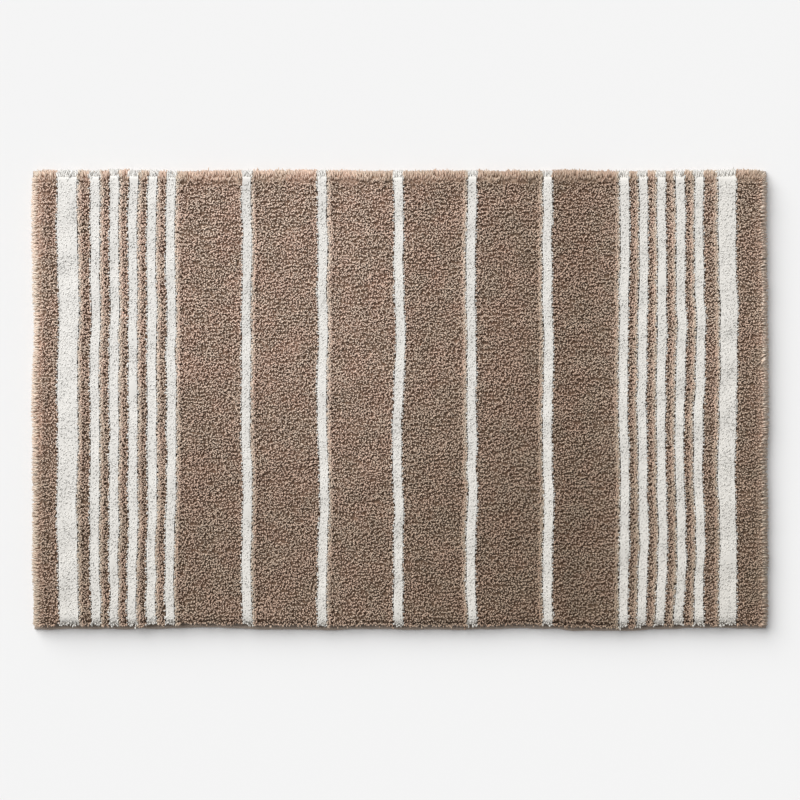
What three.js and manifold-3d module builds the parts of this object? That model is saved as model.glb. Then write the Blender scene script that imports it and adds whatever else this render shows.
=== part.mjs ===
// A striped, tufted cotton bath mat lying flat: bands of taupe and white pile that run across
// the mat, the woven cloth that they are tufted through, the latex coating on its back, and a
// tape hem folded round all four edges and held by a lockstitched seam.
//
// Millimetres, +Z up. The origin is the centre of the underside, +X runs along the mat's
// length, from stripe to stripe, and +Y across it, along each stripe.

import * as THREE from 'three';
import { mergeVertices } from 'three/addons/utils/BufferGeometryUtils.js';
import Module from 'manifold-3d';

// ---- Driving dimensions --------------------------------------------------------------------

const ROW_PITCH = 25.4 / 8;         // the tufting rows stand eight to the inch
const MAT_DEPTH = 540;              // across the mat, hem to hem
const MAT_HEIGHT = 18;              // from the floor to the tips of the pile
const GAP = 0.3;                    // clearance between pieces that touch

const LATEX_THICKNESS = 1.8;        // anti-slip coating, which rests on the floor
const CLOTH_THICKNESS = 0.8;        // woven primary backing
const SHEET_CORNER_RADIUS = 3;      // of both, seen from above

const HEM_ROWS = 2;                 // row pitches that the hem covers at each end of the mat
const HEM_HEIGHT = 4.6;             // over the folded tape
const HEM_FOLD = 1.2;               // tape thickness at the outer fold
const HEM_ROUNDING = 1.8;           // radius of the fold's two outer corners
const HEM_UNDER_WIDTH = 12;         // width of the tape turned under the mat

const SEAM_INSET = 4.2;             // from the mat's edge to the seam
const SEAM_GROOVE_WIDTH = 1.4;      // the stitches draw the tape in
const SEAM_GROOVE_DEPTH = 0.8;
const THREAD_DIAMETER = 0.6;

const PILE_FRONT_SETBACK = 4.5;     // the nap leans backwards, so the pile clears the front hem
const PILE_FRONT_SLOPE = 0.4;       // share of the other sides' rounding that the front keeps
const PILE_CORNER_RADIUS = 7;       // of the pile's outline, seen from above

// Tufting rows in each run of one colour, from the left end to the right end.
const TAUPE = 'taupe';
const WHITE = 'white';
const LEFT_END_ROWS = [[TAUPE, 8], [WHITE, 7], [TAUPE, 5]];
const RIGHT_END_ROWS = [[TAUPE, 6], [WHITE, 6], [TAUPE, 10]];
const STRIPE_ROWS = 3;              // each narrow white stripe
const CLUSTER_STRIPES = 5;          // narrow stripes that stand close together near each end
const CLUSTER_TAUPE_ROWS = 4;       // taupe between the stripes of a cluster
const FIELD_TAUPE_ROWS = [25, 25, 25, 24, 25, 25];   // taupe between the stripes of the middle

const FINISHES = {
  [TAUPE]: { color: 0x9a8471, roughness: 0.95 },
  [WHITE]: { color: 0xe6e2dc, roughness: 0.95 },
  cloth: { color: 0xcfc6b8, roughness: 0.9 },
  latex: { color: 0xe4dfd2, roughness: 0.6 },
  tape: { color: 0x877b70, roughness: 0.85 },
  thread: { color: 0x9a8c7e, roughness: 0.7 },
};

// ---- Worked-out dimensions -----------------------------------------------------------------

const PILE_RUNS = [
  ...LEFT_END_ROWS,
  ...alternate(WHITE, Array(CLUSTER_STRIPES).fill(STRIPE_ROWS), CLUSTER_TAUPE_ROWS),
  ...alternate(TAUPE, FIELD_TAUPE_ROWS, STRIPE_ROWS),
  ...alternate(WHITE, Array(CLUSTER_STRIPES).fill(STRIPE_ROWS), CLUSTER_TAUPE_ROWS),
  ...RIGHT_END_ROWS,
];
const PILE_ROWS = PILE_RUNS.reduce((sum, [, rows]) => sum + rows, 0);
const MAT_LENGTH = (PILE_ROWS + 2 * HEM_ROWS) * ROW_PITCH;
const HEM_WIDTH = HEM_ROWS * ROW_PITCH - GAP;
const CLOTH_BOTTOM = LATEX_THICKNESS + GAP;
const CLOTH_TOP = CLOTH_BOTTOM + CLOTH_THICKNESS;
const PILE_BOTTOM = CLOTH_TOP + GAP;

// Runs of one colour with the other colour's runs between them.
function alternate(colour, rowCounts, rowsBetween) {
  const other = colour === TAUPE ? WHITE : TAUPE;
  return rowCounts.flatMap((rows, i) => (i ? [[other, rowsBetween], [colour, rows]] : [[colour, rows]]));
}

// ---- Geometry helpers ----------------------------------------------------------------------

function geometryFrom(points, triangles) {
  const geometry = new THREE.BufferGeometry();
  geometry.setAttribute('position', new THREE.Float32BufferAttribute(points.flat(), 3));
  geometry.setIndex(triangles.flat());
  return geometry;
}

// A closed solid between rings of equally many points, listed from the first cap to the last.
// Seen from the last cap, each ring runs anticlockwise. cap holds the last cap's triangles.
function solidFromRings(rings, cap) {
  const count = rings[0].length;
  const last = (rings.length - 1) * count;
  const triangles = [];
  for (let r = 0; r + 1 < rings.length; r++) {
    for (let i = 0; i < count; i++) {
      const a = r * count + i;
      const b = r * count + (i + 1) % count;
      triangles.push([a, b, b + count], [a, b + count, a + count]);
    }
  }
  for (const [a, b, c] of cap) {
    triangles.push([a, c, b], [last + a, last + b, last + c]);
  }
  return geometryFrom(rings.flat(), triangles);
}

// The triangles that fill an outline of [x, y] pairs.
function fill(outline) {
  return THREE.ShapeUtils.triangulateShape(outline.map(([x, y]) => new THREE.Vector2(x, y)), []);
}

function arc(centreX, centreY, radius, fromDegrees, toDegrees, steps) {
  return Array.from({ length: steps + 1 }, (_, i) => {
    const angle = THREE.MathUtils.degToRad(fromDegrees + (toDegrees - fromDegrees) * i / steps);
    return [centreX + radius * Math.cos(angle), centreY + radius * Math.sin(angle)];
  });
}

// A rectangle with round corners, anticlockwise from its right-hand side.
function roundedRectangle(left, right, front, back, radius) {
  return [
    ...arc(right - radius, back - radius, radius, 0, 90, 4),
    ...arc(left + radius, back - radius, radius, 90, 180, 4),
    ...arc(left + radius, front + radius, radius, 180, 270, 4),
    ...arc(right - radius, front + radius, radius, 270, 360, 4),
  ];
}

// A flat sheet between two heights, inset from the mat's outline all round.
function sheetGeometry(inset, bottom, top) {
  const x = MAT_LENGTH / 2 - inset;
  const y = MAT_DEPTH / 2 - inset;
  const outline = roundedRectangle(-x, x, -y, y, SHEET_CORNER_RADIUS);
  const rings = [bottom, top].map((z) => outline.map(([px, py]) => [px, py, z]));
  return solidFromRings(rings, fill(outline));
}

// ---- Pile ----------------------------------------------------------------------------------

// The whole pile as one loaf: it stands inside the hem at its roots, spreads out over the hem,
// and rounds off towards its tips. Each pair is an inset from the mat's edge and a height.
function pileLoaf() {
  const rooted = HEM_WIDTH + GAP;
  const shoulders = [
    [rooted, PILE_BOTTOM],
    [rooted, HEM_HEIGHT + GAP],
    [1.5, 6.1],
    [0.3, 8.6],
    [0, 10.6],
    [0.8, 13.2],
    [2.8, 15.6],
    [5.6, 17.2],
    [9, MAT_HEIGHT],
  ];
  const rings = shoulders.map(([inset, z]) => {
    const x = MAT_LENGTH / 2 - inset;
    const frontInset = Math.max(inset, PILE_FRONT_SETBACK + PILE_FRONT_SLOPE * inset);
    const front = frontInset - MAT_DEPTH / 2;
    const outline = roundedRectangle(-x, x, front, MAT_DEPTH / 2 - inset, PILE_CORNER_RADIUS);
    return outline.map(([px, py]) => [px, py, z]);
  });
  return solidFromRings(rings, fill(rings[0]));
}

const wasm = await Module();
wasm.setup();

function toManifold(geometry) {
  const bare = geometry.clone();
  bare.deleteAttribute('normal');
  bare.deleteAttribute('uv');
  const merged = mergeVertices(bare);
  return new wasm.Manifold(new wasm.Mesh({
    numProp: 3,
    vertProperties: new Float32Array(merged.attributes.position.array),
    triVerts: new Uint32Array(merged.index.array),
  }));
}

function fromManifold(solid) {
  const { vertProperties, triVerts } = solid.getMesh();
  const geometry = new THREE.BufferGeometry();
  geometry.setAttribute('position', new THREE.BufferAttribute(new Float32Array(vertProperties), 3));
  geometry.setIndex(new THREE.BufferAttribute(new Uint32Array(triVerts), 1));
  return geometry;
}

// The stretch of the loaf between two places along the mat, short of each by half a gap.
function pileBand(loaf, left, right) {
  const slab = new THREE.BoxGeometry(right - left - GAP, 2 * MAT_DEPTH, 4 * MAT_HEIGHT);
  slab.translate((left + right) / 2, 0, 0);
  return fromManifold(loaf.intersect(toManifold(slab)));
}

// ---- Hem and seam --------------------------------------------------------------------------

// The folded tape in section: a leg over the cloth's edge, the outer fold, and a wider leg
// turned under the mat, with a groove over and under the seam. Each point is an inset from
// the mat's edge and a height, clockwise when the inset runs to the right.
function hemProfile() {
  const r = HEM_ROUNDING;
  const grooveNear = SEAM_INSET - SEAM_GROOVE_WIDTH / 2;
  const grooveFar = SEAM_INSET + SEAM_GROOVE_WIDTH / 2;
  return [
    [HEM_UNDER_WIDTH, 0],
    [grooveFar, 0],
    [grooveFar, SEAM_GROOVE_DEPTH],
    [grooveNear, SEAM_GROOVE_DEPTH],
    [grooveNear, 0],
    ...arc(r, r, r, 270, 180, 4),
    ...arc(r, HEM_HEIGHT - r, r, 180, 90, 4),
    [grooveNear, HEM_HEIGHT],
    [grooveNear, HEM_HEIGHT - SEAM_GROOVE_DEPTH],
    [grooveFar, HEM_HEIGHT - SEAM_GROOVE_DEPTH],
    [grooveFar, HEM_HEIGHT],
    [HEM_WIDTH, HEM_HEIGHT],
    [HEM_WIDTH, PILE_BOTTOM],
    [HEM_FOLD, PILE_BOTTOM],
    [HEM_FOLD, LATEX_THICKNESS],
    [HEM_UNDER_WIDTH, LATEX_THICKNESS],
  ];
}

// The hem along one side, drawn for the front (-Y) side of a mat of the given half sizes. Its
// ends are mitred, so each point of the profile ends at its own inset.
function hemGeometry(halfLength, halfDepth) {
  const profile = hemProfile();
  const ends = [1, -1].map((side) => profile.map(([inset, z]) =>
    [side * (halfLength - inset - GAP), inset - halfDepth, z]));
  return solidFromRings(ends, fill(profile).map(([a, b, c]) => [a, c, b]));
}

// A seam thread: an eight-sided cord that runs round all four sides and turns at each corner.
function threadGeometry(z) {
  const section = arc(SEAM_INSET, z, THREAD_DIAMETER / 2, 0, 360, 8).slice(1);
  const corners = [[1, -1], [1, 1], [-1, 1], [-1, -1]];
  const points = corners.flatMap(([sideX, sideY]) => section.map(([inset, height]) =>
    [sideX * (MAT_LENGTH / 2 - inset), sideY * (MAT_DEPTH / 2 - inset), height]));
  const triangles = corners.flatMap((_, corner) => section.flatMap((__, i) => {
    const next = (i + 1) % section.length;
    const here = corner * section.length;
    const there = ((corner + 1) % corners.length) * section.length;
    return [[here + i, there + next, there + i], [here + i, here + next, there + next]];
  }));
  return geometryFrom(points, triangles);
}

// ---- Assembly ------------------------------------------------------------------------------

const mat = new THREE.Group();

function addMesh(name, geometry, finish, turn = 0) {
  geometry.computeVertexNormals();
  const material = new THREE.MeshStandardMaterial({ ...FINISHES[finish], metalness: 0 });
  const mesh = new THREE.Mesh(geometry, material);
  mesh.name = name;
  mesh.rotation.z = turn;
  mat.add(mesh);
}

// The first and last bands also take in the pile that spreads over the hems at the ends.
function addPile() {
  const loaf = toManifold(pileLoaf());
  const hemCover = HEM_ROWS * ROW_PITCH;
  const counts = { [TAUPE]: 0, [WHITE]: 0 };
  let left = hemCover - MAT_LENGTH / 2;
  PILE_RUNS.forEach(([colour, rows], i) => {
    const right = left + rows * ROW_PITCH;
    const from = i === 0 ? left - hemCover - GAP : left;
    const to = i === PILE_RUNS.length - 1 ? right + hemCover + GAP : right;
    counts[colour] += 1;
    const number = String(counts[colour]).padStart(2, '0');
    addMesh(`pile_${colour}_${number}`, pileBand(loaf, from, to), colour);
    left = right;
  });
}

function addBacking() {
  addMesh('primary_backing', sheetGeometry(HEM_FOLD + GAP, CLOTH_BOTTOM, CLOTH_TOP), 'cloth');
  addMesh('latex_coating', sheetGeometry(HEM_UNDER_WIDTH + GAP, 0, LATEX_THICKNESS), 'latex');
}

// Each side's hem is drawn as the front one and turned a quarter further than the last.
function addHems() {
  ['front', 'right', 'back', 'left'].forEach((side, quarter) => {
    const along = quarter % 2 ? MAT_DEPTH : MAT_LENGTH;
    const across = quarter % 2 ? MAT_LENGTH : MAT_DEPTH;
    addMesh(`hem_${side}`, hemGeometry(along / 2, across / 2), 'tape', quarter * Math.PI / 2);
  });
}

// One thread lies in the groove over the hem and one in the groove under it.
function addSeam() {
  const groove = SEAM_GROOVE_DEPTH / 2;
  addMesh('seam_needle_thread', threadGeometry(HEM_HEIGHT - groove), 'thread');
  addMesh('seam_bobbin_thread', threadGeometry(groove), 'thread');
}

addPile();
addBacking();
addHems();
addSeam();

export default mat;
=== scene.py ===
"""A striped, tufted cotton bath mat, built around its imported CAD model.

The pile is real geometry: every tufting row of every colour band carries its tufts of curled
yarn ends, which lean out over the folded hem along the mat's back and sides. Under it lie the
woven cloth that the tufts are sewn through, the ribbed latex that holds them, and the hem
tape with its lockstitched seam. Metres, +Z up, and the mat's long side runs along X.
"""

import math

import bpy
import numpy as np
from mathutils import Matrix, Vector


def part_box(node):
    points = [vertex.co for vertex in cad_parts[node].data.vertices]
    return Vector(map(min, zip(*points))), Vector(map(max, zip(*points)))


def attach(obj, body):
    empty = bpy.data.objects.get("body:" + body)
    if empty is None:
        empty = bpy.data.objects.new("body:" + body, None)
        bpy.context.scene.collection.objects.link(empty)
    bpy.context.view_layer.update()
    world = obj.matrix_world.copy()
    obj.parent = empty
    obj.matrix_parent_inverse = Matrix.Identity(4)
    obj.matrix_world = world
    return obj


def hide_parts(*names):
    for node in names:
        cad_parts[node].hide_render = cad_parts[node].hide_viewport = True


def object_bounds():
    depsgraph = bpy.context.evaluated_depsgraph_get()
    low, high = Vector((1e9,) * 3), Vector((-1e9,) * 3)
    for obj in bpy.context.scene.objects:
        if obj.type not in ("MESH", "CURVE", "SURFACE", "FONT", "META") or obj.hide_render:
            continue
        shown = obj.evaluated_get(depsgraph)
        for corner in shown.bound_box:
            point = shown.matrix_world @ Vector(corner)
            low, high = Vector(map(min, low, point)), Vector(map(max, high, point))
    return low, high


MM = 0.001
UP = np.array([0.0, 0.0, 1.0])
ROW_PITCH = 25.4 / 8 * MM      # tufting rows along the mat's length, eight to the inch
STITCH_PITCH = 4.1 * MM        # tufts along a row
HEM_ROWS = 2                   # row pitches that the hem takes at each end of the mat
SAME_PLACE = 1 * MM            # borders nearer than this to each other are the same one

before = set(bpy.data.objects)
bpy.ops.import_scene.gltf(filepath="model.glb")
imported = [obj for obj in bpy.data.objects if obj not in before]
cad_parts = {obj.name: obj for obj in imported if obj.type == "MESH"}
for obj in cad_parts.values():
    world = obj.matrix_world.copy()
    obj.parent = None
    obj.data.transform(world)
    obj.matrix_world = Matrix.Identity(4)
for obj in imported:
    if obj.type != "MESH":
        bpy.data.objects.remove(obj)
cad_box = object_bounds()
mat_low, mat_high = Vector(cad_box[0]), Vector(cad_box[1])
MAT_LENGTH = mat_high.x - mat_low.x
MAT_DEPTH = mat_high.y - mat_low.y
MAT_HEIGHT = mat_high.z
CLOTH_BOTTOM, CLOTH_TOP = (corner.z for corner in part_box("primary_backing"))
ROOT_INSET = HEM_ROWS * ROW_PITCH    # from the mat's outline to the outermost tufts


# ---- Camera, light and floor ---------------------------------------------------------------

VIEW_WIDTH = 0.9360            # of the picture, at the height of the pile
LENS_MM, SENSOR_MM = 85.0, 36.0
FARTHEST_SEEN = 20.0
SKY_STRENGTH = 0.34
KEY_STRENGTH = 3.7
KEY_HEADING = (0.85, -0.95, -1.0)
KEY_SPREAD = math.radians(60)  # its angular size, which gives its shadows their soft edges
FLOOR_SIZE = 8.0
FLOOR_SHADE, FLOOR_ROUGHNESS = 0.85, 0.9


def make_camera():
    data = bpy.data.cameras.new("camera")
    data.lens, data.sensor_width = LENS_MM, SENSOR_MM
    data.clip_end = FARTHEST_SEEN
    camera = bpy.data.objects.new("camera", data)
    bpy.context.scene.collection.objects.link(camera)
    camera.location = (0.0, 0.0, VIEW_WIDTH * LENS_MM / SENSOR_MM + MAT_HEIGHT)
    bpy.context.scene.camera = camera


def make_key_light():
    data = bpy.data.lights.new("key", "SUN")
    data.energy = KEY_STRENGTH
    data.angle = KEY_SPREAD
    lamp = bpy.data.objects.new("key", data)
    bpy.context.scene.collection.objects.link(lamp)
    lamp.rotation_euler = Vector(KEY_HEADING).to_track_quat("-Z", "Y").to_euler()


def make_stage():
    scene = bpy.context.scene
    scene.view_settings.view_transform = "Standard"
    world = bpy.data.worlds.new("studio")
    world.use_nodes = True
    background = world.node_tree.nodes["Background"]
    background.inputs["Color"].default_value = (1.0, 1.0, 1.0, 1.0)
    background.inputs["Strength"].default_value = SKY_STRENGTH
    scene.world = world
    bpy.ops.mesh.primitive_plane_add(size=FLOOR_SIZE)
    floor = bpy.context.object
    floor.name = "floor"
    material = bpy.data.materials.new("floor")
    material.use_nodes = True
    shader = material.node_tree.nodes["Principled BSDF"]
    shader.inputs["Base Color"].default_value = (FLOOR_SHADE, FLOOR_SHADE, FLOOR_SHADE, 1.0)
    shader.inputs["Roughness"].default_value = FLOOR_ROUGHNESS
    floor.data.materials.append(material)


# ---- Helpers -------------------------------------------------------------------------------

UV_MAP = "OFBake"


def make_object(name, vertices, corners, starts, material, uv=None):
    """A smooth-shaded mesh object, from its points, the point at each face corner, the first
    corner of each face and, where it has a UV map, the place of each corner in it."""
    mesh = bpy.data.meshes.new(name)
    mesh.vertices.add(len(vertices))
    mesh.vertices.foreach_set("co", np.asarray(vertices, np.float32).ravel())
    mesh.loops.add(len(corners))
    mesh.loops.foreach_set("vertex_index", np.asarray(corners, np.int32))
    mesh.polygons.add(len(starts))
    mesh.polygons.foreach_set("loop_start", np.asarray(starts, np.int32))
    mesh.update(calc_edges=True)
    mesh.shade_smooth()
    mesh.materials.append(material)
    if uv is not None:
        layer = mesh.uv_layers.new(name=UV_MAP)
        layer.data.foreach_set("uv", np.asarray(uv, np.float32).ravel())
    piece = bpy.data.objects.new(name, mesh)
    bpy.context.scene.collection.objects.link(piece)
    return piece


def finish_piece(piece, node):
    """Lets a piece ride on the mat and stand for a CAD node, which it hides."""
    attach(piece, "root")
    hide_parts(node)
    return piece


def wavy_field(seed, wavelength, waves=18):
    """A smooth random field over the mat, with a mean of 0 and a deviation of 1."""
    rng = np.random.default_rng(seed)
    angle = rng.uniform(0, 2 * np.pi, waves)
    number = 2 * np.pi / (wavelength * rng.uniform(0.7, 1.7, waves))
    phase = rng.uniform(0, 2 * np.pi, waves)

    def field(x, y):
        turns = np.multiply.outer(x, number * np.cos(angle))
        turns += np.multiply.outer(y, number * np.sin(angle)) + phase
        return np.cos(turns).sum(-1) * math.sqrt(2 / waves)

    return field


def smooth_step(low, high, value):
    t = np.clip((value - low) / (high - low), 0, 1)
    return t * t * (3 - 2 * t)


def unit(vectors):
    return vectors / (np.linalg.norm(vectors, axis=-1, keepdims=True) + 1e-12)


def grid_faces(columns, rows):
    """Quads of a grid of points stored row by row."""
    i = np.arange(rows - 1)[:, None] * columns + np.arange(columns - 1)[None, :]
    return np.stack([i, i + 1, i + 1 + columns, i + columns], -1).reshape(-1, 4)


def tube_points(path, across, beside, sides, radius):
    """Rings of points round many paths, as an array of (path, ring, side, axis)."""
    angle = np.arange(sides) * 2 * np.pi / sides
    ring = across[:, :, None, :] * np.cos(angle)[:, None]
    ring = ring + beside[:, :, None, :] * np.sin(angle)[:, None]
    return path[:, :, None, :] + ring * radius[:, :, None, None]


def tube_faces(count, rings, sides):
    """Corners and starts of the faces of count tubes, each closed at both ends."""
    around = np.arange(sides)
    after = (around + 1) % sides
    wall = np.stack([around, after, after + sides, around + sides], -1)
    walls = wall + sides * np.arange(rings - 1)[:, None, None]
    corners = np.concatenate([walls.ravel(), around[::-1], around + (rings - 1) * sides])
    starts = np.concatenate([np.arange(0, walls.size, 4), walls.size + np.array([0, sides])])
    tube = np.arange(count)[:, None]
    return (tube * (sides * rings) + corners).ravel(), (tube * len(corners) + starts).ravel()


# ---- Small irregularities of the whole mat -------------------------------------------------

slow_x, slow_y = wavy_field(3, 170 * MM), wavy_field(4, 190 * MM)
quick_x, quick_y = wavy_field(13, 45 * MM), wavy_field(14, 60 * MM)
SLOW_SHIFT = (0.7 * MM, 0.6 * MM)      # by the long waves, along x and y
QUICK_SHIFT = (0.4 * MM, 0.35 * MM)    # by the short ones
CORNER_REACH = 14 * MM         # from a corner, along both edges, where it is rounded off
CORNER_PULL = 0.7 * MM


def settle(x, y):
    """Where a place on a perfectly straight mat lies on this one."""
    in_x = np.clip(1 - (np.minimum(x - mat_low.x, mat_high.x - x)) / CORNER_REACH, 0, 1)
    in_y = np.clip(1 - (np.minimum(y - mat_low.y, mat_high.y - y)) / CORNER_REACH, 0, 1)
    pull = CORNER_PULL * in_x * in_y
    shift_x = SLOW_SHIFT[0] * slow_x(x, y) + QUICK_SHIFT[0] * quick_x(x, y)
    shift_y = SLOW_SHIFT[1] * slow_y(x, y) + QUICK_SHIFT[1] * quick_y(x, y)
    return x + shift_x - np.sign(x) * pull, y + shift_y - np.sign(y) * pull


# ---- Materials: nodes ----------------------------------------------------------------------

WAVE_TURN = 20.0               # a Wave texture's stripes to the unit of its scale, over 2 pi


def new_material(name, roughness):
    material = bpy.data.materials.new(name)
    material.use_nodes = True
    tree = material.node_tree
    shader = tree.nodes["Principled BSDF"]
    shader.inputs["Roughness"].default_value = roughness
    return material, tree, shader


def mat_place(tree):
    return tree.nodes.new("ShaderNodeTexCoord").outputs["Object"]


def place_parts(tree):
    """The x, y and z of a point on the mat."""
    split = tree.nodes.new("ShaderNodeSeparateXYZ")
    tree.links.new(mat_place(tree), split.inputs[0])
    return split.outputs


def island_value(tree):
    """A random value for each yarn end or stitch."""
    return tree.nodes.new("ShaderNodeNewGeometry").outputs["Random Per Island"]


def noise(tree, scale, detail=2.0):
    node = tree.nodes.new("ShaderNodeTexNoise")
    node.inputs["Scale"].default_value = scale
    node.inputs["Detail"].default_value = detail
    tree.links.new(mat_place(tree), node.inputs["Vector"])
    return node.outputs["Fac"]


def wave(tree, scale, direction, turn=0.0, distortion=0.0):
    """Stripes across the mat's X or Y, or turned from them."""
    mapping = tree.nodes.new("ShaderNodeMapping")
    mapping.inputs["Rotation"].default_value = (0, 0, turn)
    tree.links.new(mat_place(tree), mapping.inputs["Vector"])
    node = tree.nodes.new("ShaderNodeTexWave")
    node.bands_direction = direction
    node.inputs["Scale"].default_value = scale
    node.inputs["Distortion"].default_value = distortion
    tree.links.new(mapping.outputs["Vector"], node.inputs["Vector"])
    return node.outputs["Fac"]


def wave_scale(pitch):
    """The scale that gives a Wave texture stripes of this pitch."""
    return 2 * math.pi / (WAVE_TURN * pitch)


def ramp(tree, value, stops):
    """A colour that follows a value from 0 to 1. The stops are pairs of a value and a colour."""
    node = tree.nodes.new("ShaderNodeValToRGB")
    elements = node.color_ramp.elements
    for _ in stops[2:]:
        elements.new(0.5)
    for element, (position, colour) in zip(elements, stops):
        element.position = position
        element.color = (*colour, 1.0)
    tree.links.new(value, node.inputs["Fac"])
    return node.outputs["Color"]


def multiply_colours(tree, colour, *others):
    for other in others:
        node = tree.nodes.new("ShaderNodeMix")
        node.data_type, node.blend_type = "RGBA", "MULTIPLY"
        node.inputs["Factor"].default_value = 1.0
        tree.links.new(colour, node.inputs["A"])
        tree.links.new(other, node.inputs["B"])
        colour = node.outputs["Result"]
    return colour


def math_node(tree, operation, *values):
    """The values are sockets or numbers."""
    node = tree.nodes.new("ShaderNodeMath")
    node.operation = operation
    for socket, value in zip(node.inputs, values):
        if hasattr(value, "is_linked"):
            tree.links.new(value, socket)
        else:
            socket.default_value = value
    return node.outputs[0]


def map_range(tree, value, low, high):
    """A value that goes from 0 at low to 1 at high."""
    node = tree.nodes.new("ShaderNodeMapRange")
    node.inputs["From Min"].default_value = low
    node.inputs["From Max"].default_value = high
    tree.links.new(value, node.inputs["Value"])
    return node.outputs["Result"]


def set_bump(tree, shader, height, distance):
    node = tree.nodes.new("ShaderNodeBump")
    node.inputs["Distance"].default_value = distance
    tree.links.new(height, node.inputs["Height"])
    tree.links.new(node.outputs["Normal"], shader.inputs["Normal"])


def set_roughness(tree, shader, value, low, high):
    shades = ramp(tree, value, [(0.3, (low,) * 3), (0.7, (high,) * 3)])
    tree.links.new(shades, shader.inputs["Roughness"])


def set_sheen(shader, weight):
    shader.inputs["Sheen Weight"].default_value = weight
    shader.inputs["Sheen Roughness"].default_value = 0.6


# ---- Materials: yarn -----------------------------------------------------------------------

# Painted shade: the yarn's colour darkens from the tips down to PILE_DARK, except where it lies
# open to the light along the mat's back and ends
PILE_DARK = 12.5 * MM          # the height at which the yarn is at its darkest
OPEN_EDGE = (-15 * MM, -8 * MM)        # past the outline: from here on the yarn lies open
GREEN_LOSS, BLUE_LOSS = 1.08, 1.25     # powers by which they darken faster than red does
YARN_PATCHES, YARN_LINT, YARN_FIBRES = 38.0, 700.0, 1600.0    # scales of noise, to the metre
YARN_BUMP = 0.06 * MM


def painted_shade_depth(tree):
    """From 0 deep in the pile to 1 at the tips, the mask of the painted shade in the pile.
    The yarn that lies open along the mat's back and sides counts as tips, with no painted shade."""
    x, y, z = place_parts(tree)
    rise = map_range(tree, z, PILE_DARK, MAT_HEIGHT)
    past_x = math_node(tree, "SUBTRACT", math_node(tree, "ABSOLUTE", x), MAT_LENGTH / 2)
    past_y = math_node(tree, "SUBTRACT", y, MAT_DEPTH / 2)
    edge = map_range(tree, math_node(tree, "MAXIMUM", past_x, past_y), *OPEN_EDGE)
    return math_node(tree, "MAXIMUM", rise, edge)


def painted_falloff(tree, value, low, high, stops):
    """A painted falloff of light: a shade that varies with a value between low and high,
    warmer where it's darker. The stops are pairs of a value and a shade."""
    shades = [
        ((at - low) / (high - low), (shade, shade ** GREEN_LOSS, shade ** BLUE_LOSS))
        for at, shade in stops
    ]
    return ramp(tree, map_range(tree, value, low, high), shades)


def yarn_material(name, strand_shades, patch_shades, painted_shades, painted_light_x, painted_light_y):
    """Yarn whose ends each have their own shade, dyed a little unevenly, with painted shade
    deep in the pile and a painted falloff of light across the mat.
    """
    material, tree, shader = new_material(name, 0.9)
    x, y, _ = place_parts(tree)
    colour = multiply_colours(
        tree,
        ramp(tree, island_value(tree), strand_shades),
        ramp(tree, noise(tree, YARN_PATCHES), patch_shades),
        # painted shade, darker deep in the pile
        ramp(tree, painted_shade_depth(tree), painted_shades),
        # painted falloff of light across and along the mat
        painted_falloff(tree, x, mat_low.x, mat_high.x, painted_light_x),
        painted_falloff(tree, y, mat_low.y, mat_high.y, painted_light_y),
    )
    tree.links.new(colour, shader.inputs["Base Color"])
    set_roughness(tree, shader, noise(tree, YARN_LINT), 0.80, 0.98)
    set_bump(tree, shader, noise(tree, YARN_FIBRES), YARN_BUMP)
    shader.inputs["Specular IOR Level"].default_value = 0.25
    set_sheen(shader, 0.08)
    return material


# Painted light: the taupe is lighter at the back left and darker towards the front right, with a
# painted highlight along the right end and darker again right at the back edge
TAUPE_PAINTED_LIGHT_X = [
    (-0.43, 1.0), (-0.22, 1.0), (-0.05, 1.0), (0.03, 0.88), (0.20, 0.74), (0.26, 0.80),
    (0.30, 0.86), (0.37, 0.84), (0.41, 0.77), (0.422, 0.80), (0.427, 1.0),
]
TAUPE_PAINTED_LIGHT_Y = [(-0.27, 0.69), (-0.13, 0.75), (0.04, 0.93), (0.24, 1.0), (0.257, 0.86)]
taupe_yarn = yarn_material(
    "taupe_yarn",
    [(0.0, (0.70, 0.53, 0.43)), (0.4, (0.83, 0.645, 0.535)), (1.0, (0.93, 0.745, 0.625))],
    [(0.38, (1.0, 0.95, 0.93)), (0.62, (0.96, 0.975, 0.955))],
    # painted shade deep in the pile
    [(0.0, (0.45, 0.395, 0.35)), (0.6, (1.0, 1.0, 1.0))],
    TAUPE_PAINTED_LIGHT_X,
    TAUPE_PAINTED_LIGHT_Y,
)
# paler taupe yarn, for the ends that lie along a white stripe's inner side
mixed_yarn = yarn_material(
    "mixed_yarn",
    [(0.0, (0.76, 0.635, 0.535)), (1.0, (0.92, 0.81, 0.71))],
    [(0.38, (1.0, 0.95, 0.92)), (0.62, (0.98, 0.98, 0.96))],
    # painted shade deep in the pile
    [(0.0, (0.60, 0.54, 0.49)), (0.6, (1.0, 1.0, 1.0))],
    TAUPE_PAINTED_LIGHT_X,
    TAUPE_PAINTED_LIGHT_Y,
)
white_yarn = yarn_material(
    "white_yarn",
    [(0.0, (0.78, 0.76, 0.725)), (1.0, (0.815, 0.795, 0.76))],
    [(0.35, (0.98, 0.98, 0.98)), (0.65, (1.0, 1.0, 1.0))],
    # painted shade deep in the pile, slight for the white yarn
    [(0.0, (0.96, 0.95, 0.94)), (0.85, (1.0, 1.0, 1.0))],
    # painted falloff of light, the white lighter at the left and at the back
    [(-0.43, 1.0), (0.43, 0.91)],
    [(-0.27, 0.90), (0.0, 0.98), (0.27, 1.0)],
)


# ---- Materials: cloth, latex and thread ----------------------------------------------------

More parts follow.
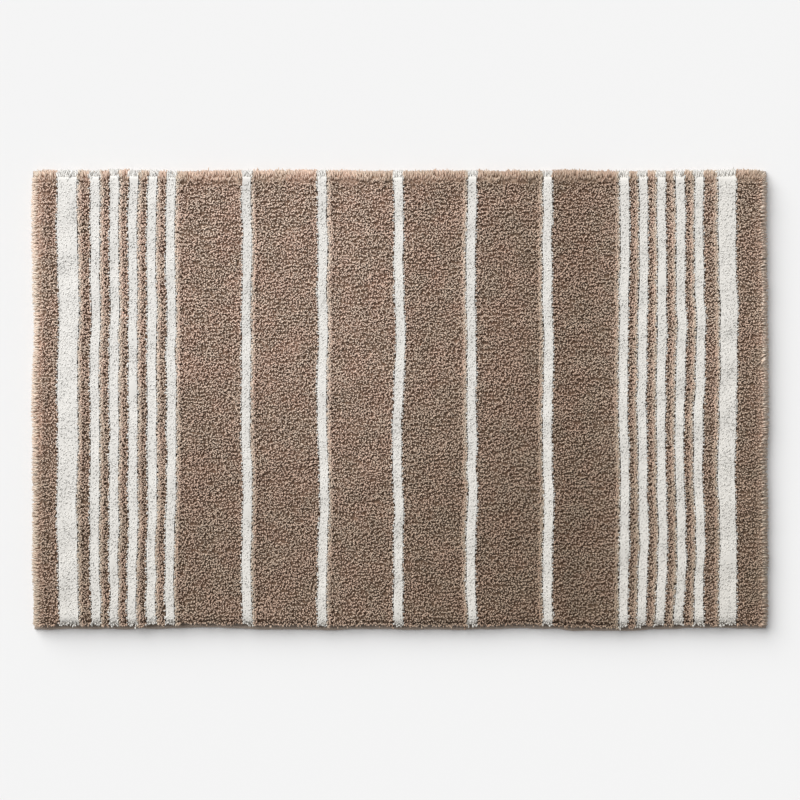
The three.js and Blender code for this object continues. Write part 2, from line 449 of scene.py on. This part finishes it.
# The plain numbers are scales of noise, in cells to the metre, unless their names say more
CLOTH_WEAR, CLOTH_SPECKS, CLOTH_SOIL, CLOTH_LINT = 55.0, 2600.0, 300.0, 1800.0
CLOTH_BUMP = 0.25 * MM
TWILL_TURN = math.radians(52)
TWILL_SHARE = 0.55             # of the ribs in the relief of a twill
LATEX_MOTTLE, LATEX_BUBBLES, LATEX_SMEARS, LATEX_GRAIN = 70.0, 900.0, 220.0, 500.0
LATEX_BUMP = 0.22 * MM
PLY_PITCH = 0.35 * MM
PLY_TURN = math.radians(40)
PLY_BUMP = 0.05 * MM
THREAD_LINT = 900.0


def woven_material(name, colours, pitch, twill, fuzz):
    """Cloth: yarns of two shades that cross, a twill or plain weave, worn in patches."""
    material, tree, shader = new_material(name, 0.85)
    scale = wave_scale(pitch)
    warp = wave(tree, scale, "X", distortion=0.6)
    weft = wave(tree, scale, "Y", distortion=0.6)
    weave = math_node(tree, "MULTIPLY", warp, weft)
    if twill:
        rib = wave(tree, scale * 0.7, "X", turn=TWILL_TURN, distortion=0.8)
        weave = math_node(
            tree, "ADD",
            math_node(tree, "MULTIPLY", weave, 1 - TWILL_SHARE),
            math_node(tree, "MULTIPLY", rib, TWILL_SHARE),
        )
    threads = ramp(tree, weave, [(0.15, colours[0]), (0.85, colours[1])])
    wear_shades = [(0.3, (0.84, 0.83, 0.82)), (0.7, (1.0, 1.0, 1.0))]
    speck_shades = [(0.35, (0.88, 0.88, 0.88)), (0.65, (1.06, 1.06, 1.06))]
    colour = multiply_colours(
        tree,
        threads,
        ramp(tree, noise(tree, CLOTH_WEAR, 4.0), wear_shades),
        ramp(tree, noise(tree, CLOTH_SPECKS), speck_shades),
    )
    tree.links.new(colour, shader.inputs["Base Color"])
    set_roughness(tree, shader, noise(tree, CLOTH_SOIL, 3.0), 0.78, 0.96)
    lint = math_node(tree, "MULTIPLY", noise(tree, CLOTH_LINT, 3.0), fuzz)
    set_bump(tree, shader, math_node(tree, "ADD", weave, lint), CLOTH_BUMP)
    set_sheen(shader, 0.12)
    return material


def latex_material():
    """Sprayed latex, a little uneven, with small bubbles and the backstitches showing through."""
    material, tree, shader = new_material("latex", 0.5)
    cream = [(0.3, (0.70, 0.655, 0.55)), (0.5, (0.78, 0.745, 0.65)), (0.75, (0.83, 0.80, 0.72))]
    colour = ramp(tree, noise(tree, LATEX_MOTTLE, 5.0), cream)
    rows = wave(tree, wave_scale(ROW_PITCH), "X")
    stitches = wave(tree, wave_scale(STITCH_PITCH), "Y", distortion=0.4)
    ridge = math_node(tree, "MULTIPLY", rows, stitches)
    # darker where the relief is low, between the backstitch ridges
    low_relief_darkening = ramp(tree, ridge, [(0.0, (0.90, 0.88, 0.84)), (0.6, (1.0, 1.0, 1.0))])
    tree.links.new(multiply_colours(tree, colour, low_relief_darkening), shader.inputs["Base Color"])
    bubbles = tree.nodes.new("ShaderNodeTexVoronoi")
    bubbles.inputs["Scale"].default_value = LATEX_BUBBLES
    tree.links.new(mat_place(tree), bubbles.inputs["Vector"])
    pits = map_range(tree, bubbles.outputs["Distance"], 0.0, 0.35)
    set_roughness(tree, shader, noise(tree, LATEX_SMEARS, 4.0), 0.38, 0.62)
    relief = math_node(tree, "ADD", math_node(tree, "MULTIPLY", pits, 0.25), ridge)
    relief = math_node(tree, "ADD", relief, noise(tree, LATEX_GRAIN, 3.0))
    set_bump(tree, shader, relief, LATEX_BUMP)
    return material


def thread_material():
    """Spun sewing thread: a fine slanting ply, each stitch a little lighter or darker."""
    material, tree, shader = new_material("seam_thread", 0.6)
    stitch_shades = [(0.0, (0.27, 0.21, 0.165)), (1.0, (0.40, 0.32, 0.26))]
    ply = wave(tree, wave_scale(PLY_PITCH), "X", turn=PLY_TURN, distortion=0.5)
    colour = multiply_colours(
        tree,
        ramp(tree, island_value(tree), stitch_shades),
        ramp(tree, ply, [(0.2, (0.72, 0.70, 0.68)), (0.7, (1.0, 1.0, 1.0))]),
    )
    tree.links.new(colour, shader.inputs["Base Color"])
    set_roughness(tree, shader, noise(tree, THREAD_LINT), 0.5, 0.75)
    set_bump(tree, shader, ply, PLY_BUMP)
    return material


# ---- Pile: yarn ends -----------------------------------------------------------------------

SIDES = 3                      # of the tube that makes one yarn end
ALONG = np.array([0.0, 0.5, 0.77, 1.0])           # of a curled end, where its rings are
ALONG_FRINGE = np.linspace(0, 1, len(ALONG))      # and of one that leans out over the hem
SHAPE = np.array([0.85, 1.05, 1.0, 0.5])          # an end's thickness from root to tip
RINGS = len(ALONG)
STEM = 6.5 * MM                # of a yarn end, below its curl
UV_TUFTS, UV_BODY = 0.94, 0.05         # widths of the UV map that the tufts and the body take
UV_WALL, UV_WALL_CORNER = (0.76, 0.56), (0.12, 0.22)    # of an end's side, in its cell
UV_CAP = np.array([[0.3, 0.0], [0.7, 0.0], [0.5, 0.12]])
UV_CAP_CORNERS = (0, 0.04), (0, 0.84)


def strands(points, along, radius, flat):
    """Rings of points round many tapering yarn ends, as an array of (end, ring, side, axis).
    Each end follows the cubic curve of its four control points, and is flat times as thick
    as it's wide."""
    t = along[:, :, None]
    first, second, third, fourth = (p[:, None, :] for p in points)
    path = (
        (1 - t) ** 3 * first
        + 3 * (1 - t) ** 2 * t * second
        + 3 * (1 - t) * t ** 2 * third
        + t ** 3 * fourth
    )
    tangent = unit(
        (1 - t) ** 2 * (second - first)
        + 2 * (1 - t) * t * (third - second)
        + t ** 2 * (fourth - third)
    )
    level = np.cross(UP, points[3] - points[0])[:, None, :]
    across = unit(np.cross(level, tangent))
    beside = np.cross(tangent, across)
    return tube_points(path, flat * across, beside, SIDES, radius[:, None] * SHAPE)


def strand_uv(count):
    """A square cell of the UV map for each yarn end: round it along u, and up it along v."""
    step, side = np.meshgrid(np.arange(RINGS - 1), np.arange(SIDES), indexing="ij")
    u = (side[..., None] + np.array([0, 1, 1, 0])) / SIDES
    v = (step[..., None] + np.array([0, 0, 1, 1])) / (RINGS - 1)
    walls = np.stack([u, v], -1).reshape(-1, 2) * UV_WALL + UV_WALL_CORNER
    one = np.concatenate([walls, *(UV_CAP + corner for corner in UV_CAP_CORNERS)])
    columns = math.ceil(math.sqrt(count))
    place = np.stack([np.arange(count) % columns, np.arange(count) // columns], -1)
    return ((place[:, None, :] + one) / columns).reshape(-1, 2) * (UV_TUFTS, 1.0)


# ---- Pile: how the yarn lies ---------------------------------------------------------------

# Each colour's tufts, in mm unless said otherwise:
#   ends      yarn ends in a tuft
#   radius    of an end
#   flat      its thickness for its width
#   deep      scatter of a tuft's ends along its row
#   reach     of a curl across the pile, from least to most
#   scatter   of the curls' headings, in radians
#   over      by which ends may pass their band's borders
#   push      by which the ends near a border are shifted outward
#   stray     share of the ends that may pass a border by STRAY_REACH more
#   uneven    scatter of the tips' heights
#   hook      by which a tip turns down, from least to most
#   arch      by which a curl rises before that
#   combed    share of the ends next to a white stripe's inner side that lie along it
#   sunken    share of the ends that are bent down into the pile
#   packed    depth of the lower pile below the tips
TAUPE = dict(
    ends=4, radius=0.74, flat=0.75, deep=1.05, reach=(0.7, 2.4), scatter=1.3, over=-0.8,
    push=-1.3, stray=0.06, uneven=0.4, hook=(0.4, 2.0), arch=0.8, combed=0.92, sunken=0.16,
    packed=5.0,
)
WHITE = dict(
    ends=5, radius=1.0, flat=0.5, deep=1.05, reach=(1.4, 3.4), scatter=0.7, over=1.9,
    push=1.5, stray=0.06, uneven=0.08, hook=(0.0, 0.3), arch=0.3, combed=0.0, sunken=0.0,
    packed=0.0,
)

LINE_DRIFT = 0.9 * MM          # of the lines of tufts across the rows
DRIFT_EDGE = 12 * MM           # from the front and back, where they straighten
ROW_JITTER, STITCH_JITTER = 0.25 * MM, 0.45 * MM    # of a tuft's place
NAP_TURN = 0.35                # radians that the curls turn from lying across the rows
PUSH_WIDTH = 6 * MM            # from a colour border, where the bulkier white yarn pushes
STRAY_REACH = 1.5              # mm
COMBED_WIDTH = 5.2 * MM        # of the taupe that lies along a white stripe, on its inner side
PALE_WIDTH = 3.8 * MM         # of it whose ends take the paler yarn
SUNKEN_DEPTH = 2.4 * MM        # of the few ends that are bent down into the pile
MEAN_DROP = 0.9 * MM           # of the tips, from the top of the mat's box
TOP_MARGIN = 0.3 * MM          # from there to the highest tips
SWELL = 0.35 * MM              # of the pile's level
LEAN_WIDTH = 10 * MM           # how far in from the outermost tufts the pile leans outward
END_LEAN_WIDTH = 6.5 * MM      # the same at the mat's left and right ends
FRONT_LEAN = 0.30              # of the pile over the front hem, next to the other sides
FRONT_SLOPE = 8 * MM           # how far in the pile slopes down to the front hem
FRONT_DROP = 3.2 * MM          # by which it's lower at its outermost tufts
OUTERMOST = 0.55               # lean from which tufts are set closer, as a fringe
FRINGE_REACH = 7.2 * MM        # outward, of the ends that have turned over fully
FRINGE_MORE = 10.0 * MM        # that ends which have turned over less would reach further
FRINGE_JITTER = (-1.0 * MM, 0.8 * MM)
FRINGE_TURN = 0.13             # radians, scatter of its ends' headings
FRINGE_TIP = 8.0 * MM          # height of its tips, fully turned over
FRINGE_FALL = 8.6 * MM         # by which they come down to that
FRINGE_BLEND = (0.04, 0.40)    # leans between which curled ends become a fringe
ROOT_HEIGHT = CLOTH_TOP + 0.4 * MM

comb, line_drift = wavy_field(5, 30 * MM), wavy_field(6, 34 * MM)
swell = wavy_field(7, 45 * MM)


def pile_level(x, y):
    """The height of the pile's tips at a place away from the edges."""
    return MAT_HEIGHT - MEAN_DROP + SWELL * swell(x, y)


def front_drop(y):
    """By how much the pile is lower where it slopes down to the front hem."""
    return FRONT_DROP * np.clip(1 - (y - mat_low.y - ROOT_INSET) / FRONT_SLOPE, 0, 1) ** 1.5


def from_stripe(x, left, right):
    """How far x is from the border of its band that faces away from the mat's middle, which
    in a taupe band is a white stripe's inner side."""
    return x - left if left + right < 0 else right - x


def tuft_places(rng, first_x, rows):
    """The places of a band's tufts, as arrays of x and y, in lines across the rows."""
    low_y, high_y = mat_low.y + ROOT_INSET, mat_high.y - ROOT_INSET
    count = int((high_y - low_y) / STITCH_PITCH)
    pitch = (high_y - low_y) / count
    row, place = np.meshgrid(np.arange(rows), np.arange(count), indexing="ij")
    x = first_x + (row + 0.5) * ROW_PITCH
    y = low_y + (place + 0.5) * pitch
    inside = smooth_step(0, DRIFT_EDGE, np.minimum(y - low_y, high_y - y))
    drift = LINE_DRIFT * line_drift(x, y) * inside
    x = x + rng.normal(0, ROW_JITTER, x.shape)
    y = y + drift + rng.normal(0, STITCH_JITTER, y.shape)
    return x.ravel(), y.ravel()


def edge_lean(x, y):
    """The outward direction of the pile at a place, times how far it has turned over there,
    which is 1 at the outermost tufts of the back and sides."""
    lean = np.zeros((len(x), 2))
    sides = (
        (x - mat_low.x, (-1, 0), 1.0, END_LEAN_WIDTH),
        (mat_high.x - x, (1, 0), 1.0, END_LEAN_WIDTH),
        (mat_high.y - y, (0, 1), 1.0, LEAN_WIDTH),
        (y - mat_low.y, (0, -1), FRONT_LEAN, LEAN_WIDTH),
    )
    for inset, outward, strength, width in sides:
        share = strength * np.clip(1 - (inset - ROOT_INSET) / width, 0, 1)
        lean += share[:, None] * np.array(outward)
    return lean


def lean_out(rng, x, y, points, along):
    """Turns the control points of the ends near the edges outward, to lie over the hem."""
    lean = edge_lean(x, y)
    share = np.linalg.norm(lean, axis=1)
    over = np.clip(share, 0, 1)
    n = len(x)
    reach = over * (FRINGE_REACH + FRINGE_MORE * (1 - over) + rng.uniform(*FRINGE_JITTER, n))
    turn = np.arctan2(lean[:, 1], lean[:, 0]) + rng.normal(0, FRINGE_TURN, n)
    step = np.stack([reach * np.cos(turn), reach * np.sin(turn), np.zeros(n)], -1)
    tip_z = FRINGE_TIP + FRINGE_FALL * (1 - over ** 2.6) + rng.normal(0, 0.7 * MM, n)
    rise = UP * (tip_z - ROOT_HEIGHT)[:, None]
    root = np.stack([x, y, np.full(n, ROOT_HEIGHT)], -1)
    turned = [
        root,
        root - 0.05 * step + 0.85 * rise,
        root + 0.45 * step + 1.12 * rise,
        root + step + rise,
    ]
    blend = smooth_step(*FRINGE_BLEND, share)[:, None]
    points = [curled * (1 - blend) + out * blend for curled, out in zip(points, turned)]
    return points, along * (1 - blend) + ALONG_FRINGE * blend


def spread_colours(x, left, right, push):
    """Shifts the ends near a band's borders outward by push, or inward where it is negative.
    The border at the mat's own end stays."""
    shift = np.zeros(len(x))
    if left > mat_low.x + ROOT_INSET + SAME_PLACE:
        shift -= push * np.clip(1 - (x - left) / PUSH_WIDTH, 0, 1)
    if right < mat_high.x - ROOT_INSET - SAME_PLACE:
        shift += push * np.clip(1 - (right - x) / PUSH_WIDTH, 0, 1)
    return x + shift


def end_places(rng, x, y, left, right, style):
    """The places of the yarn ends of the tufts at x, y. Tufts along the mat's edges and along
    a stripe's inner side are doubled, because their ends lie flat and have to cover more."""
    outer = np.linalg.norm(edge_lean(x, y), axis=1) > OUTERMOST
    beside_stripe = from_stripe(x, left, right) < 2 * ROW_PITCH
    dense = outer | (beside_stripe & (style["combed"] > 0))
    x, y = (np.concatenate([v, v[dense], v[outer]]) for v in (x, y))
    ends = style["ends"]
    tufts = len(x)
    across = (np.tile(np.arange(ends), tufts) - (ends - 1) / 2) / ends * ROW_PITCH
    x = np.repeat(x, ends) + across + rng.normal(0, ROW_JITTER, tufts * ends)
    y = np.repeat(y, ends) + rng.normal(0, style["deep"] * MM, tufts * ends)
    return spread_colours(x, left, right, style["push"] * MM), y


def curled_ends(rng, x, y, left, right, style):
    """Control points, ring places and radii of the yarn ends of the tufts at x, y, which
    keep their colour between left and right, and which of them take the paler yarn."""
    x, y = end_places(rng, x, y, left, right, style)
    n = len(x)
    over = np.clip(np.linalg.norm(edge_lean(x, y), axis=1), 0, 1)
    radius = style["radius"] * MM * rng.uniform(0.75, 1.25, n) * (1 + 0.15 * over)
    reach = rng.uniform(*style["reach"], n) * MM
    scatter = rng.normal(0, style["scatter"], n)
    flip = np.pi * rng.integers(0, 2, n)
    from_border = from_stripe(x, left, right)
    combed = (from_border < COMBED_WIDTH) & (rng.random(n) < style["combed"])
    heading = np.where(
        combed, np.pi / 2 + flip + 0.12 * scatter, NAP_TURN * comb(x, y) + flip + scatter
    )
    reach = np.where(combed, 1.8 * reach, reach)
    step_x, step_y = reach * np.cos(heading), reach * np.sin(heading)

    margin = (style["over"] + STRAY_REACH * (rng.random(n) < style["stray"])) * MM
    low, high = left - margin, right + margin
    tip_x = np.clip(x + step_x, low, high)
    x = np.clip(x, low, high)
    step_x = tip_x - x

    top = pile_level(x, y) + rng.normal(0, style["uneven"] * MM, n)
    top = np.minimum(top, MAT_HEIGHT - TOP_MARGIN)
    top -= SUNKEN_DEPTH * ((rng.random(n) < style["sunken"]) & ~combed)
    top -= front_drop(y)
    hook = rng.uniform(*style["hook"], n) * MM * np.where(combed, 0.3, 1.0)
    arch = (style["arch"] * MM * np.where(combed, 0.4, 1.0))[:, None]
    root = np.stack([x, y, top - STEM], -1)
    step = np.stack([step_x, step_y, np.zeros(n)], -1)
    aside = np.cross(UP, step) * rng.normal(0, 0.25, n)[:, None]
    points = [
        root,
        root + 0.05 * step + UP * (STEM + 0.25 * arch),
        root + 0.7 * step + aside + UP * (STEM + arch),
        root + step + UP * (STEM - hook)[:, None],
    ]
    points, along = lean_out(rng, x, y, points, np.broadcast_to(ALONG, (n, RINGS)))
    return points, along, radius, combed & (from_border < PALE_WIDTH)


def settle_points(points):
    """Moves whole strands to where their roots lie on this mat."""
    x, y = points[:, 0, :, 0].mean(1), points[:, 0, :, 1].mean(1)
    new_x, new_y = settle(x, y)
    points[..., 0] += (new_x - x)[:, None, None]
    points[..., 1] += (new_y - y)[:, None, None]
    return points


# ---- Pile: colour bands --------------------------------------------------------------------

MOST_ROWS = 15                 # tufting rows in one mesh
BAND_GAP = 0.15 * MM           # of a CAD band at each of its borders
BODY_CELL_X, BODY_CELL_Y = 2.2 * MM, 3.0 * MM
BODY_EDGE = 3.5 * MM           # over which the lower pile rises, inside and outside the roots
BODY_BOTTOM = CLOTH_TOP + 0.2 * MM
body_bumps = wavy_field(9, 5 * MM, 30)


def band_body(left, right, packed):
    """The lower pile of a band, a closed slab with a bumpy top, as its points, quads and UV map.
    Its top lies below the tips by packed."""
    front, back = mat_low.y + ROOT_INSET, mat_high.y - ROOT_INSET
    columns = max(3, round((right - left) / BODY_CELL_X) + 1)
    rows = round((back - front) / BODY_CELL_Y) + 1
    x, y = np.meshgrid(np.linspace(left, right, columns), np.linspace(front, back, rows))
    insets = [x - mat_low.x, mat_high.x - x, y - mat_low.y, mat_high.y - y]
    rise = smooth_step(-BODY_EDGE, BODY_EDGE, np.minimum.reduce(insets) - ROOT_INSET)
    bumps = (0.1 * MM + 0.08 * packed) * body_bumps(x, y)
    level = np.maximum(pile_level(x, y) - packed - front_drop(y), ROOT_HEIGHT)
    top = ROOT_HEIGHT + (level - ROOT_HEIGHT + bumps) * rise
    u, v = (x - left) / (right - left), (y - front) / (back - front)
    x, y = settle(x, y)
    upper = np.stack([x, y, top], -1).reshape(-1, 3)
    lower = np.stack([x, y, np.full_like(x, BODY_BOTTOM)], -1).reshape(-1, 3)
    faces = grid_faces(columns, rows)
    faces = np.concatenate([faces, faces[:, ::-1] + len(upper)])
    place = np.concatenate([
        np.stack([first_u + 0.4 * UV_BODY * u, v], -1).reshape(-1, 2)
        for first_u in (1 - UV_BODY, 1 - UV_BODY / 2)
    ])
    return np.concatenate([upper, lower]), faces, place[faces.ravel()]


def make_band(name, number, material, style):
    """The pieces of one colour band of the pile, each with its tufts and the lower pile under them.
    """
    low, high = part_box(name)
    rows = round((high.x - low.x) / ROW_PITCH)
    left = low.x - BAND_GAP
    if low.x < mat_low.x + SAME_PLACE:
        rows -= HEM_ROWS
        left = mat_low.x + ROOT_INSET
    if high.x > mat_high.x - SAME_PLACE:
        rows -= HEM_ROWS
    right = left + rows * ROW_PITCH
    rng = np.random.default_rng(100 + number)
    parts = math.ceil(rows / MOST_ROWS)
    pieces = []
    for part, own in enumerate(np.array_split(np.arange(rows), parts)):
        start = left + own[0] * ROW_PITCH
        x, y = tuft_places(rng, start, len(own))
        points, along, radius, pale_ends = curled_ends(rng, x, y, left, right, style)
        points = settle_points(strands(points, along, radius, style["flat"]))
        corners, starts = tube_faces(len(points), RINGS, SIDES)
        places = strand_uv(len(points))
        points = points.reshape(-1, 3)
        body, faces, body_places = band_body(
            start, start + len(own) * ROW_PITCH, style["packed"] * MM
        )
        piece = make_object(
            name + ("_tufts" if parts == 1 else "_tufts_" + "ab"[part]),
            np.concatenate([points, body]),
            np.concatenate([corners, faces.ravel() + len(points)]),
            np.concatenate([starts, len(corners) + np.arange(0, faces.size, 4)]),
            material,
            np.concatenate([places, body_places]),
        )
        if pale_ends.any():
            piece.data.materials.append(mixed_yarn)
            index = np.zeros(len(piece.data.polygons), np.int32)
            index[:len(starts)] = np.repeat(pale_ends, len(starts) // len(pale_ends))
            piece.data.polygons.foreach_set("material_index", index)
        pieces.append(finish_piece(piece, name))
    return pieces


# ---- Hem and seam --------------------------------------------------------------------------

HEM_LOW, HEM_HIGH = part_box("hem_front")
HEM_HEIGHT = HEM_HIGH.z
HEM_WIDTH = HEM_HIGH.y - HEM_LOW.y       # of its lower leg, the wider one
HEM_LIP = ROOT_INSET - 0.3 * MM          # the width of its upper leg
HEM_STEP = 1.05 * MM                     # between rings along the hem
TAPE = 1.7 * MM                          # thickness of the folded tape
FOLD_RADIUS = 1.8 * MM
SEAM_INSET = 4.2 * MM                    # of the seam, from the mat's outline
SEAM_STITCH = 3.15 * MM
SEAM_DENT = 0.75 * MM                    # depth and half width of the thread's groove
PUCKER = 0.12 * MM                       # height of the puckers at the seam
PUCKER_WIDTH = 2.2 * MM                  # and how far from it they reach
HEM_BULGE = 3 * MM                       # how far in the fold is uneven
THREAD_RADIUS = 0.32 * MM
THREAD_DEPTH = 0.42 * MM                 # of a stitch's middle below the hem's face
HOLE_DEPTH = 0.95 * MM                   # of its ends, where it goes through the tape
STITCH_RINGS, STITCH_SIDES = 6, 6
SIDES_OF_MAT = {
    "hem_front": ((1, 0), (0, -1)),
    "hem_right": ((0, 1), (1, 0)),
    "hem_back": ((-1, 0), (0, 1)),
    "hem_left": ((0, -1), (-1, 0)),
}


def side_place(along, outward, share, inset):
    """The x and y at a share, -1 to 1, of the way along a mitred side, at an inset from it."""
    run = MAT_LENGTH / 2 if along[0] else MAT_DEPTH / 2
    depth = MAT_DEPTH / 2 if along[0] else MAT_LENGTH / 2
    s = share * (run - inset)
    return along[0] * s + outward[0] * (depth - inset), along[1] * s + outward[1] * (depth - inset)


def side_length(name):
    return MAT_LENGTH if SIDES_OF_MAT[name][0][0] else MAT_DEPTH


def hem_profile():
    """The closed outline of the folded tape, as insets from the mat's outline and heights."""
    turn = np.linspace(0, np.pi / 2, 5)
    top, lip = HEM_HEIGHT, HEM_LIP
    inset, z = [], []

    def add(new_inset, new_z):
        inset.extend(np.atleast_1d(new_inset))
        z.extend(np.atleast_1d(new_z))

    add([lip, lip - 0.25 * MM], [top - 0.9 * MM, top - 0.25 * MM])
    add(np.linspace(lip - 0.7 * MM, 1.2 * FOLD_RADIUS, 9), np.full(9, top))
    add(FOLD_RADIUS * (1 - np.sin(turn)), top - FOLD_RADIUS * (1 - np.cos(turn)))
    add(FOLD_RADIUS * (1 - np.cos(turn)), FOLD_RADIUS * (1 - np.sin(turn)))
    add(np.linspace(1.2 * FOLD_RADIUS, HEM_WIDTH - 0.6 * MM, 9), np.zeros(9))
    add(HEM_WIDTH - np.array([0.15, 0.0, 0.5]) * MM, np.array([0.3, 0.9, 1.6]) * MM)
    add([HEM_WIDTH - 1.2 * MM, lip, FOLD_RADIUS + 0.5 * MM], np.full(3, TAPE + 0.1 * MM))
    add([1.45 * MM, 1.35 * MM, 1.45 * MM], [2.1 * MM, 2.5 * MM, top - TAPE - 0.05 * MM])
    add([FOLD_RADIUS + 0.5 * MM, lip - 0.6 * MM], np.full(2, top - TAPE + 0.1 * MM))
    return np.array(inset), np.array(z)


def make_hem(name, number, material):
    """One side's folded tape, with the seam's groove, puckers and an uneven fold."""
    along, outward = SIDES_OF_MAT[name]
    inset, z = hem_profile()
    run = side_length(name)
    rings = round(run / HEM_STEP) + 1
    share = np.linspace(-1, 1, rings)[:, None]
    x, y = side_place(along, outward, share, inset[None, :])
    s = share * run / 2
    above = (z > HEM_HEIGHT - 0.7 * MM)[None, :]
    below = (z < 0.1 * MM)[None, :]
    groove = SEAM_DENT * np.exp(-((inset - SEAM_INSET) / SEAM_DENT) ** 2)[None, :]
    around = np.exp(-((inset - SEAM_INSET) / PUCKER_WIDTH) ** 2)[None, :]
    pucker = PUCKER * np.cos(2 * np.pi * s / SEAM_STITCH) * around
    slow = wavy_field(60 + number, 38 * MM)(s[:, 0], 0 * s[:, 0])[:, None]
    quick = wavy_field(70 + number, 9 * MM)(s[:, 0], 0 * s[:, 0])[:, None]
    rise = pucker - groove + 0.10 * MM * slow + 0.06 * MM * quick
    rise = np.where(above, rise, 0) + np.where(below, groove, 0)
    bulge = (0.25 * MM * slow + 0.12 * MM * quick) * np.clip(1 - inset / HEM_BULGE, 0, 1)[None, :]
    bulge = bulge * smooth_step(0, 6 * MM, run / 2 - np.abs(s))
    x, y = settle(x + outward[0] * bulge, y + outward[1] * bulge)
    height = np.broadcast_to(np.maximum(z[None, :] + rise, 0), x.shape)
    points = np.stack([x, y, height], -1).reshape(-1, 3)
    corners, starts = tube_faces(1, rings, len(inset))
    return make_object(name + "_tape", points, corners, starts, material)


def make_stitches(name, z_middle, z_end, material):
    """One side of the lockstitched seam: a short length of thread from each hole to the next."""
    t = np.linspace(-1, 1, STITCH_RINGS)
    centre, heading, lengths = [], [], []
    for side, (along, outward) in SIDES_OF_MAT.items():
        seam = side_length(side) - 2 * SEAM_INSET
        count = round(seam / SEAM_STITCH)
        share = (np.arange(count) + 0.5) / count * 2 - 1
        centre.append(np.stack(side_place(along, outward, share, SEAM_INSET), -1))
        heading.append(np.broadcast_to(along, (count, 2)))
        lengths.append(np.full(count, seam / count))
    centre, heading, lengths = (np.concatenate(v) for v in (centre, heading, lengths))
    rng = np.random.default_rng(31)
    heading = heading + rng.normal(0, 0.03, heading.shape)
    reach = (0.5 * lengths - 0.10 * MM)[:, None] * t
    x, y = settle(centre[:, :1] + heading[:, :1] * reach, centre[:, 1:] + heading[:, 1:] * reach)
    z = np.broadcast_to(z_middle + (z_end - z_middle) * np.abs(t) ** 3, x.shape)
    path = np.stack([x, y, z], -1)
    tangent = unit(np.gradient(path, axis=1))
    beside = unit(np.cross(UP, tangent))
    radius = THREAD_RADIUS * (1 - 0.35 * np.abs(t) ** 4)[None, :]
    points = tube_points(path, beside, np.cross(tangent, beside), STITCH_SIDES, radius)
    corners, starts = tube_faces(len(points), STITCH_RINGS, STITCH_SIDES)
    return make_object(name, points.reshape(-1, 3), corners, starts, material)


# ---- Cloth and latex -----------------------------------------------------------------------

CLOTH_INSET = 1.5 * MM         # of the cloth's cut edge, which lies in the hem's fold
CLOTH_CELL = 6 * MM
LATEX_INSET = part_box("latex_coating")[0].x - mat_low.x
LATEX_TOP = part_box("latex_coating")[1].z
LATEX_CELL_X, LATEX_CELL_Y = ROW_PITCH / 3, 10.4 * MM
VALLEY = 0.55 * MM             # between the rows of backstitches
LUMP = 0.12 * MM
lumps = wavy_field(21, 18 * MM)


def latex_relief(x, y):
    """How far the underside of the latex rises between the rows of backstitches."""
    from_row = np.abs((x - mat_low.x) / ROW_PITCH % 1 - 0.5) * 2
    return np.maximum(VALLEY * (1 - from_row) ** 1.5 + LUMP * lumps(x, y), 0)


def make_slab(name, inset, low, high, cell_x, cell_y, material, under=None):
    """A closed sheet of cells between two heights, with under(x, y) added to its underside."""
    half_x, half_y = MAT_LENGTH / 2 - inset, MAT_DEPTH / 2 - inset
    columns, rows = round(2 * half_x / cell_x) + 1, round(2 * half_y / cell_y) + 1
    x, y = np.meshgrid(np.linspace(-half_x, half_x, columns), np.linspace(-half_y, half_y, rows))
    bottom = low + (under(x, y) if under else 0 * x)
    x, y = settle(x, y)
    top = np.stack([x, y, np.full_like(x, high)], -1).reshape(-1, 3)
    base = np.stack([x, y, bottom], -1).reshape(-1, 3)
    count = columns * rows
    rim = np.concatenate([
        np.arange(columns),
        np.arange(1, rows) * columns + columns - 1,
        (rows - 1) * columns + np.arange(columns - 2, -1, -1),
        np.arange(rows - 2, 0, -1) * columns,
    ])
    after = np.roll(rim, -1)
    wall = np.stack([rim, rim + count, after + count, after], -1)
    faces = grid_faces(columns, rows)
    faces = np.concatenate([faces, faces[:, ::-1] + count, wall])
    starts = np.arange(0, faces.size, 4)
    return make_object(name, np.concatenate([top, base]), faces.ravel(), starts, material)


# ---- The mat -------------------------------------------------------------------------------

make_camera()
make_key_light()
make_stage()
tape = woven_material(
    "hem_tape", [(0.36, 0.295, 0.245), (0.59, 0.49, 0.415)], pitch=0.9 * MM, twill=True, fuzz=0.5
)
cloth = woven_material(
    "backing_cloth", [(0.50, 0.44, 0.36), (0.70, 0.64, 0.55)], pitch=1.1 * MM, twill=False, fuzz=0.4
)
latex = latex_material()
thread = thread_material()

bands = sorted(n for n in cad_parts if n.startswith("pile_"))
pile = []
for number, band in enumerate(bands):
    if "white" in band:
        pile += make_band(band, number, white_yarn, WHITE)
    else:
        pile += make_band(band, number, taupe_yarn, TAUPE)

hems = [
    finish_piece(make_hem(name, number, tape), name)
    for number, name in enumerate(SIDES_OF_MAT)
]
needle = make_stitches(
    "seam_needle_stitches", HEM_HEIGHT - THREAD_DEPTH, HEM_HEIGHT - HOLE_DEPTH, thread
)
finish_piece(needle, "seam_needle_thread")
bobbin = make_stitches("seam_bobbin_stitches", THREAD_DEPTH, HOLE_DEPTH, thread)
finish_piece(bobbin, "seam_bobbin_thread")
backing = make_slab(
    "backing_weave", CLOTH_INSET, CLOTH_BOTTOM, CLOTH_TOP, CLOTH_CELL, CLOTH_CELL, cloth
)
finish_piece(backing, "primary_backing")
coating = make_slab(
    "latex_ridges", LATEX_INSET, 0.0, LATEX_TOP, LATEX_CELL_X, LATEX_CELL_Y, latex, latex_relief
)
finish_piece(coating, "latex_coating")
